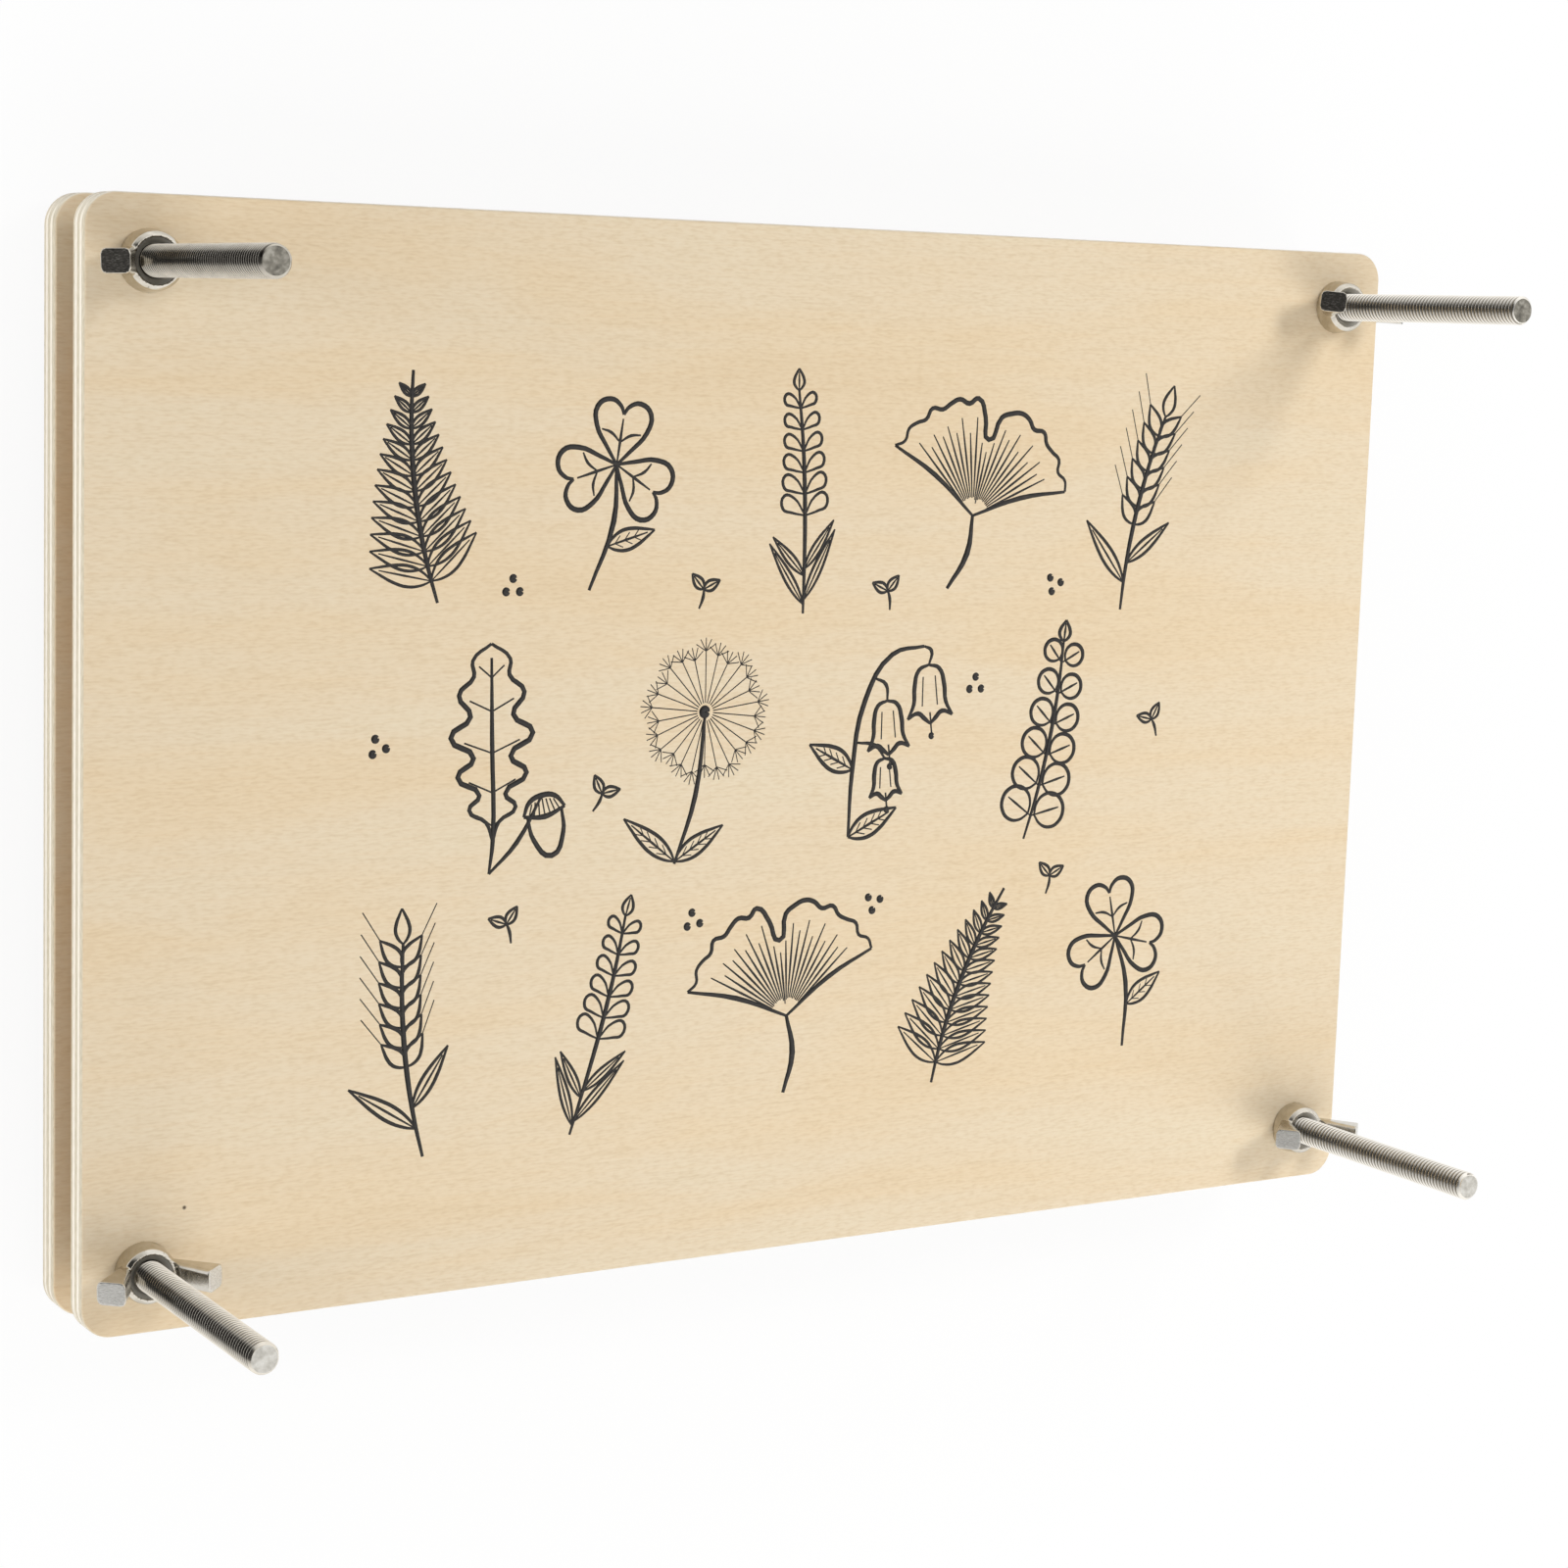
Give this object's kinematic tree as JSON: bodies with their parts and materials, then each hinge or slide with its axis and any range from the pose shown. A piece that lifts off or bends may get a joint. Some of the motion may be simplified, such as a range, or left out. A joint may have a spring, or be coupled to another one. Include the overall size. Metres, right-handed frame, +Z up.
{
  "type": "flower press",
  "caption": "Plywood flower press lying on its bolt heads: two boards drawn together over card and blotting paper by corner carriage bolts with wing nuts.",
  "frame": {"origin": "on the table under the middle of the boards, level with the crowns of the four bolt heads", "axes": "+X along the boards to the right as seen from above, +Y across them to the back edge, +Z up the bolts"},
  "size_m": [0.3004, 0.21, 0.0837],
  "materials": {
    "plywood": "sanded, unvarnished",
    "bolt_steel": "zinc plated, dull",
    "nickel_plate": "bright nickel plate",
    "corrugated_card": "matt kraft",
    "blotting_paper": "matt, fibrous"
  },
  "bodies": {
    "base_frame": {"base_board": "plywood", "carriage_bolt_back_left": "bolt_steel", "carriage_bolt_back_right": "bolt_steel", "carriage_bolt_front_left": "bolt_steel", "carriage_bolt_front_right": "bolt_steel", "corrugated_card_1": "corrugated_card", "corrugated_card_2": "corrugated_card", "corrugated_card_3": "corrugated_card", "corrugated_card_4": "corrugated_card", "blotting_paper_1": "blotting_paper", "blotting_paper_2": "blotting_paper", "blotting_paper_3": "blotting_paper", "blotting_paper_4": "blotting_paper", "blotting_paper_5": "blotting_paper", "blotting_paper_6": "blotting_paper"},
    "top_board": {"top_board": "plywood"},
    "wing_nut_back_left": {"wing_nut_back_left": "nickel_plate"},
    "wing_nut_back_right": {"wing_nut_back_right": "nickel_plate"},
    "wing_nut_front_left": {"wing_nut_front_left": "nickel_plate"},
    "wing_nut_front_right": {"wing_nut_front_right": "nickel_plate"}
  },
  "joints": [
    {"name": "top_board_slide", "type": "slide", "parent": "base_frame", "child": "top_board", "axis": [0, 0, 1], "range_m": [0, 0.05]},
    {"name": "back_left_nut_turn", "type": "hinge", "parent": "top_board", "child": "wing_nut_back_left", "pos_m": [-0.138, 0.093, 0.02531], "axis": [0, 0, 1], "range_deg": [0, 18000]},
    {"name": "back_right_nut_turn", "type": "hinge", "parent": "top_board", "child": "wing_nut_back_right", "pos_m": [0.138, 0.093, 0.02531], "axis": [0, 0, 1], "range_deg": [0, 18000]},
    {"name": "front_left_nut_turn", "type": "hinge", "parent": "top_board", "child": "wing_nut_front_left", "pos_m": [-0.138, -0.093, 0.02531], "axis": [0, 0, 1], "range_deg": [0, 18000]},
    {"name": "front_right_nut_turn", "type": "hinge", "parent": "top_board", "child": "wing_nut_front_right", "pos_m": [0.138, -0.093, 0.02531], "axis": [0, 0, 1], "range_deg": [0, 18000]}
  ],
  "couplings": [
    {"joint": "back_left_nut_turn", "follows": "top_board_slide", "rad_per_m": 6283.2},
    {"joint": "back_right_nut_turn", "follows": "top_board_slide", "rad_per_m": 6283.2},
    {"joint": "front_left_nut_turn", "follows": "top_board_slide", "rad_per_m": 6283.2},
    {"joint": "front_right_nut_turn", "follows": "top_board_slide", "rad_per_m": 6283.2}
  ]
}
